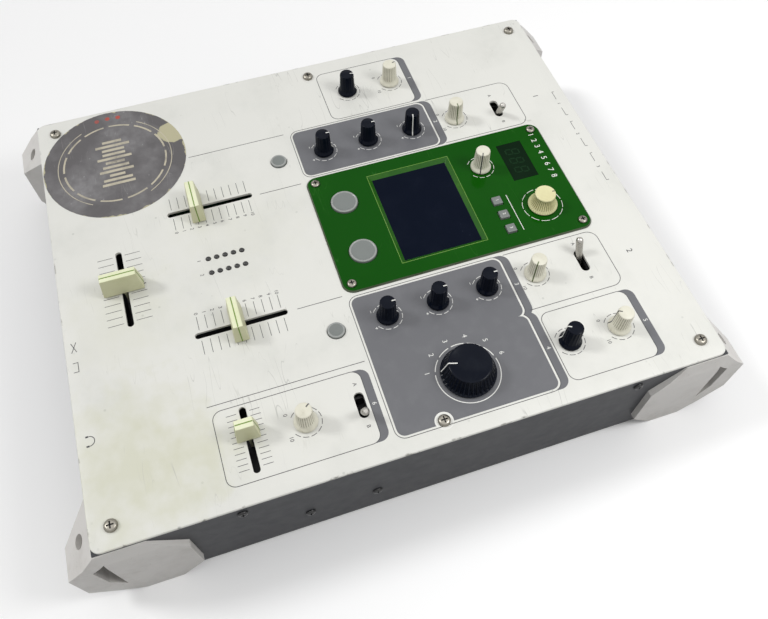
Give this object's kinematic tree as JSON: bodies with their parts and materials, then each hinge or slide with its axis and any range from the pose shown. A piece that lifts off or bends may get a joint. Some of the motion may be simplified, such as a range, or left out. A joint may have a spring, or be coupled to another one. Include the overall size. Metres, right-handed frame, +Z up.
{
  "type": "dj mixer",
  "caption": "DJ mixer with a white steel top plate, rotary knobs, faders, toggle switches and a green touch effects panel, in a grey case on plastic corner guards.",
  "frame": {"origin": "On the table, under the middle of the case.", "axes": "+X is the mixer's right as its user stands at the crossfader, +Y points to the rear sockets, +Z is up."},
  "size_m": [0.287, 0.368, 0.0837],
  "materials": {
    "white_paint": "satin",
    "grey_paint": "satin",
    "guard_plastic": "satin",
    "steel": "satin",
    "black_steel": "satin",
    "green_panel": "gloss",
    "touch_glass": "gloss",
    "smoked_lens": "gloss",
    "board": "satin",
    "component": "matte",
    "lamp": "gloss",
    "nickel": "polished",
    "black_plastic": "gloss",
    "ivory_plastic": "satin",
    "grey_rubber": "matte"
  },
  "bodies": {
    "case": {"top_plate": "white_paint", "base_sheet": "grey_paint", "side_panel_left": "grey_paint", "side_panel_right": "grey_paint", "front_panel": "grey_paint", "rear_panel": "grey_paint", "guard_front_left": "guard_plastic", "guard_front_right": "guard_plastic", "guard_rear_left": "guard_plastic", "guard_rear_right": "guard_plastic", "plate_screws": "steel", "pad_screws": "steel", "side_screws": "black_steel", "pad_panel": "green_panel", "touch_pad": "touch_glass", "display_window": "smoked_lens", "main_board": "board", "board_posts": "steel", "pot_bodies": "component", "fader_units": "component", "switch_bodies": "component", "key_switches": "component", "level_lamps": "lamp", "rca_sockets": "nickel", "mic_socket": "component", "headphone_socket": "component", "power_inlet": "component", "ground_post": "steel"},
    "knob_mic_balance": {"knob_mic_balance": "black_plastic"},
    "knob_mic_level": {"knob_mic_level": "ivory_plastic"},
    "knob_low_1": {"knob_low_1": "black_plastic"},
    "knob_mid_1": {"knob_mid_1": "black_plastic"},
    "knob_high_1": {"knob_high_1": "black_plastic"},
    "knob_trim_1": {"knob_trim_1": "ivory_plastic"},
    "knob_low_2": {"knob_low_2": "black_plastic"},
    "knob_mid_2": {"knob_mid_2": "black_plastic"},
    "knob_high_2": {"knob_high_2": "black_plastic"},
    "knob_trim_2": {"knob_trim_2": "ivory_plastic"},
    "knob_effect_depth": {"knob_effect_depth": "ivory_plastic"},
    "knob_eq_type": {"knob_eq_type": "black_plastic"},
    "knob_pan": {"knob_pan": "black_plastic"},
    "knob_master_level": {"knob_master_level": "ivory_plastic"},
    "knob_monitor_level": {"knob_monitor_level": "ivory_plastic"},
    "knob_program": {"knob_program": "ivory_plastic"},
    "toggle_input_1": {"toggle_input_1": "steel"},
    "toggle_input_2": {"toggle_input_2": "steel"},
    "toggle_monitor": {"toggle_monitor": "steel"},
    "crossfader_cap": {"crossfader_cap": "ivory_plastic"},
    "fader_1_cap": {"fader_1_cap": "ivory_plastic"},
    "fader_2_cap": {"fader_2_cap": "ivory_plastic"},
    "cue_fader_cap": {"cue_fader_cap": "ivory_plastic"},
    "button_monitor_1": {"button_monitor_1": "grey_rubber"},
    "button_monitor_2": {"button_monitor_2": "grey_rubber"},
    "button_hold": {"button_hold": "grey_rubber"},
    "button_tap": {"button_tap": "grey_rubber"},
    "button_memory_1": {"button_memory_1": "grey_rubber"},
    "button_memory_2": {"button_memory_2": "grey_rubber"},
    "button_memory_3": {"button_memory_3": "grey_rubber"},
    "button_power": {"button_power": "black_plastic"},
    "curve_lever": {"curve_lever": "black_plastic"}
  },
  "joints": [
    {"name": "knob_mic_balance_turn", "type": "hinge", "parent": "case", "child": "knob_mic_balance", "pos_m": [-0.1078, 0.0313, 0.0675], "axis": [0, 0, 1], "range_deg": [-140, 160]},
    {"name": "knob_mic_level_turn", "type": "hinge", "parent": "case", "child": "knob_mic_level", "pos_m": [-0.1078, 0.0603, 0.0675], "axis": [0, 0, 1], "range_deg": [-165, 135]},
    {"name": "knob_low_1_turn", "type": "hinge", "parent": "case", "child": "knob_low_1", "pos_m": [-0.0627, 0.0023, 0.0675], "axis": [0, 0, 1], "range_deg": [-150, 150]},
    {"name": "knob_mid_1_turn", "type": "hinge", "parent": "case", "child": "knob_mid_1", "pos_m": [-0.0627, 0.0313, 0.0675], "axis": [0, 0, 1], "range_deg": [-150, 150]},
    {"name": "knob_high_1_turn", "type": "hinge", "parent": "case", "child": "knob_high_1", "pos_m": [-0.0627, 0.0603, 0.0675], "axis": [0, 0, 1], "range_deg": [-45, 255]},
    {"name": "knob_trim_1_turn", "type": "hinge", "parent": "case", "child": "knob_trim_1", "pos_m": [-0.0627, 0.0893, 0.0675], "axis": [0, 0, 1], "range_deg": [-55, 245]},
    {"name": "knob_low_2_turn", "type": "hinge", "parent": "case", "child": "knob_low_2", "pos_m": [0.0627, 0.0023, 0.0675], "axis": [0, 0, 1], "range_deg": [-150, 150]},
    {"name": "knob_mid_2_turn", "type": "hinge", "parent": "case", "child": "knob_mid_2", "pos_m": [0.0627, 0.0313, 0.0675], "axis": [0, 0, 1], "range_deg": [-150, 150]},
    {"name": "knob_high_2_turn", "type": "hinge", "parent": "case", "child": "knob_high_2", "pos_m": [0.0627, 0.0603, 0.0675], "axis": [0, 0, 1], "range_deg": [-150, 150]},
    {"name": "knob_trim_2_turn", "type": "hinge", "parent": "case", "child": "knob_trim_2", "pos_m": [0.0627, 0.0893, 0.0675], "axis": [0, 0, 1], "range_deg": [-20, 280]},
    {"name": "knob_effect_depth_turn", "type": "hinge", "parent": "case", "child": "knob_effect_depth", "pos_m": [-0.0185, 0.0893, 0.0675], "axis": [0, 0, 1], "range_deg": [-35, 265]},
    {"name": "knob_eq_type_turn", "type": "hinge", "parent": "case", "child": "knob_eq_type", "pos_m": [0.1078, 0.0313, 0.0675], "axis": [0, 0, 1], "range_deg": [-150, 0]},
    {"name": "knob_pan_turn", "type": "hinge", "parent": "case", "child": "knob_pan", "pos_m": [0.1078, 0.0893, 0.0675], "axis": [0, 0, 1], "range_deg": [-300, 0]},
    {"name": "knob_master_level_turn", "type": "hinge", "parent": "case", "child": "knob_master_level", "pos_m": [0.1078, 0.1183, 0.0675], "axis": [0, 0, 1], "range_deg": [-300, 0]},
    {"name": "knob_monitor_level_turn", "type": "hinge", "parent": "case", "child": "knob_monitor_level", "pos_m": [0.1078, -0.0557, 0.0675], "axis": [0, 0, 1], "range_deg": [-188, 112]},
    {"name": "knob_program_turn", "type": "hinge", "parent": "case", "child": "knob_program", "pos_m": [0.0198, 0.1132, 0.0675], "axis": [0, 0, 1], "continuous": true},
    {"name": "toggle_input_1_turn", "type": "hinge", "parent": "case", "child": "toggle_input_1", "pos_m": [-0.0627, 0.1183, 0.058], "axis": [0, 1, 0], "range_deg": [-44, 0]},
    {"name": "toggle_input_2_turn", "type": "hinge", "parent": "case", "child": "toggle_input_2", "pos_m": [0.0627, 0.1183, 0.058], "axis": [0, 1, 0], "range_deg": [0, 44]},
    {"name": "toggle_monitor_turn", "type": "hinge", "parent": "case", "child": "toggle_monitor", "pos_m": [0.1078, -0.0267, 0.058], "axis": [0, 1, 0], "range_deg": [-44, 0]},
    {"name": "crossfader_cap_slide", "type": "slide", "parent": "case", "child": "crossfader_cap", "axis": [1, 0, 0], "range_m": [-0.0225, 0.0225]},
    {"name": "fader_1_cap_slide", "type": "slide", "parent": "case", "child": "fader_1_cap", "axis": [0, 1, 0], "range_m": [-0.0144, 0.0306]},
    {"name": "fader_2_cap_slide", "type": "slide", "parent": "case", "child": "fader_2_cap", "axis": [0, 1, 0], "range_m": [-0.0207, 0.0243]},
    {"name": "cue_fader_cap_slide", "type": "slide", "parent": "case", "child": "cue_fader_cap", "axis": [1, 0, 0], "range_m": [-0.012, 0.018]},
    {"name": "button_monitor_1_slide", "type": "slide", "parent": "case", "child": "button_monitor_1", "axis": [0, 0, -1], "range_m": [0, 0.001], "stiffness_N_per_m": 400, "springref_m": -0.0005},
    {"name": "button_monitor_2_slide", "type": "slide", "parent": "case", "child": "button_monitor_2", "axis": [0, 0, -1], "range_m": [0, 0.001], "stiffness_N_per_m": 400, "springref_m": -0.0005},
    {"name": "button_hold_slide", "type": "slide", "parent": "case", "child": "button_hold", "axis": [0, 0, -1], "range_m": [0, 0.001], "stiffness_N_per_m": 400, "springref_m": -0.0005},
    {"name": "button_tap_slide", "type": "slide", "parent": "case", "child": "button_tap", "axis": [0, 0, -1], "range_m": [0, 0.001], "stiffness_N_per_m": 400, "springref_m": -0.0005},
    {"name": "button_memory_1_slide", "type": "slide", "parent": "case", "child": "button_memory_1", "axis": [0, 0, -1], "range_m": [0, 0.001], "stiffness_N_per_m": 400, "springref_m": -0.0005},
    {"name": "button_memory_2_slide", "type": "slide", "parent": "case", "child": "button_memory_2", "axis": [0, 0, -1], "range_m": [0, 0.001], "stiffness_N_per_m": 400, "springref_m": -0.0005},
    {"name": "button_memory_3_slide", "type": "slide", "parent": "case", "child": "button_memory_3", "axis": [0, 0, -1], "range_m": [0, 0.001], "stiffness_N_per_m": 400, "springref_m": -0.0005},
    {"name": "button_power_slide", "type": "slide", "parent": "case", "child": "button_power", "axis": [0, -1, 0], "range_m": [0, 0.003], "stiffness_N_per_m": 300, "springref_m": -0.001},
    {"name": "curve_lever_slide", "type": "slide", "parent": "case", "child": "curve_lever", "axis": [1, 0, 0], "range_m": [-0.0025, 0.0025]}
  ]
}
